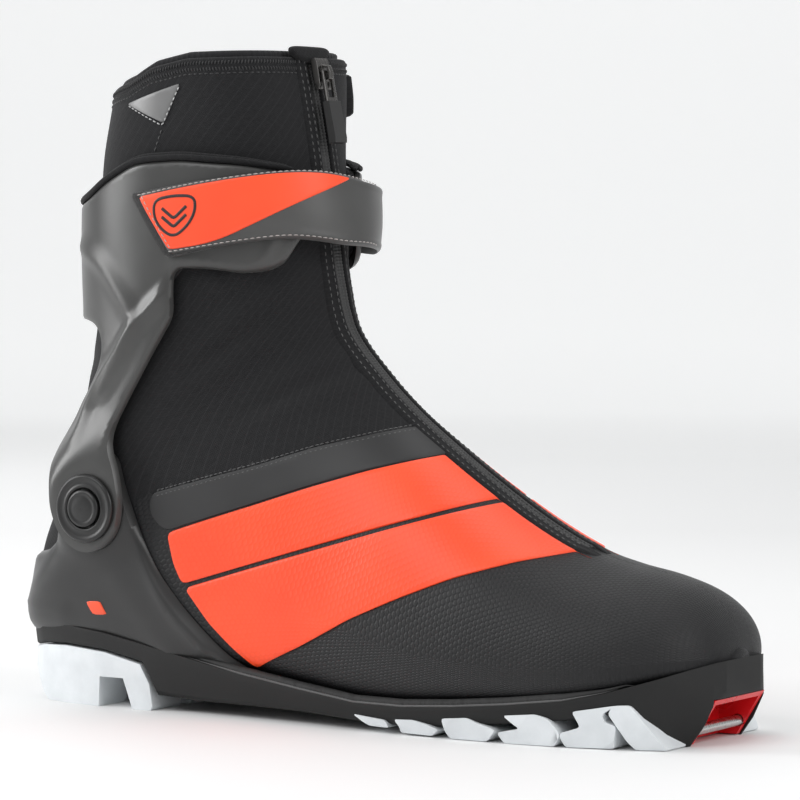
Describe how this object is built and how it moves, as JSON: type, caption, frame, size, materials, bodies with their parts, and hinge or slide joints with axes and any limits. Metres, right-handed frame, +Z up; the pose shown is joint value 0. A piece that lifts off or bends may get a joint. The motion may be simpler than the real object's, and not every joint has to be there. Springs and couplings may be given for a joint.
{
  "type": "cross country boot",
  "caption": "Right skate-style cross country ski boot with a toe bar sole, lasted fabric upper, hinged plastic cuff, hook-and-loop strap and front zip.",
  "frame": {"origin": "on the floor under the middle of the boot's overall box", "axes": "+X towards the toe, +Y towards the inner side of the right foot, +Z up"},
  "size_m": [0.3075, 0.1032, 0.2505],
  "materials": {
    "upper_fabric": "matte",
    "stretch_fabric": "matte",
    "lining": "matte",
    "sole_rubber": "satin",
    "tread_rubber": "satin",
    "cavity_liner": "satin",
    "bar_steel": "satin",
    "zip_metal": "polished",
    "board": "matte",
    "cuff_plastic": "satin",
    "cap_plastic": "satin",
    "orange_film": "satin",
    "strap_dark": "satin",
    "hook_pile": "matte",
    "grip_rubber": "matte",
    "reflector": "satin"
  },
  "bodies": {
    "boot": {"outsole": "sole_rubber", "heel_tread": "tread_rubber", "forefoot_tread": "tread_rubber", "toe_bar_housing": "cavity_liner", "toe_bar": "bar_steel", "lasting_board": "board", "insole": "lining", "upper": "upper_fabric", "foot_liner": "lining", "tongue": "lining", "heel_counter": "cuff_plastic", "side_band_upper_lateral": "orange_film", "side_band_lower_lateral": "orange_film", "side_band_upper_medial": "orange_film", "side_band_lower_medial": "orange_film", "pivot_ring_lateral": "cap_plastic", "pivot_ring_medial": "cap_plastic", "pivot_cap_lateral": "cap_plastic", "pivot_cap_medial": "cap_plastic", "zip_placket_lower": "upper_fabric", "zip_coil_lower": "hook_pile", "zip_end_patch": "upper_fabric", "ankle_gusset": "stretch_fabric", "zip_placket_ankle": "upper_fabric", "zip_coil_ankle": "hook_pile"},
    "cuff": {"collar": "stretch_fabric", "collar_lining": "lining", "collar_hem": "upper_fabric", "cuff": "cuff_plastic", "cuff_pad": "lining", "cuff_edge_trim": "upper_fabric", "cuff_loop_pad": "hook_pile", "strap_anchor": "strap_dark", "strap_rivet_upper": "bar_steel", "strap_rivet_lower": "bar_steel", "reflector_lateral": "reflector", "reflector_medial": "reflector", "pull_tab": "upper_fabric", "zip_placket_upper": "upper_fabric", "zip_coil_upper": "hook_pile", "zip_garage": "upper_fabric"},
    "strap": {"strap_band": "strap_dark", "strap_film": "orange_film", "strap_hook_pad": "hook_pile"},
    "zip_slider": {"zip_slider": "zip_metal"},
    "zip_puller": {"pull_link": "zip_metal", "pull_grip": "grip_rubber"}
  },
  "joints": [
    {"name": "cuff_flex", "type": "hinge", "parent": "boot", "child": "cuff", "pos_m": [-0.101, 0, 0.077], "axis": [0, 1, 0], "range_deg": [-8, 15], "stiffness_Nm_per_rad": 6, "springref_deg": -1.15, "deforming": ["ankle_gusset", "zip_placket_ankle", "zip_coil_ankle"]},
    {"name": "strap_swing", "type": "hinge", "parent": "cuff", "child": "strap", "pos_m": [-0.0525, 0.0485, 0.19], "axis": [0, 0, 1], "range_deg": [0, 60]},
    {"name": "zip_slide", "type": "slide", "parent": "cuff", "child": "zip_slider", "axis": [0.1853, 0, -0.9827], "range_m": [0, 0.04]},
    {"name": "puller_swing", "type": "hinge", "parent": "zip_slider", "child": "zip_puller", "pos_m": [-0.02307, 0, 0.24175], "axis": [0, -1, 0], "range_deg": [0, 140]}
  ]
}
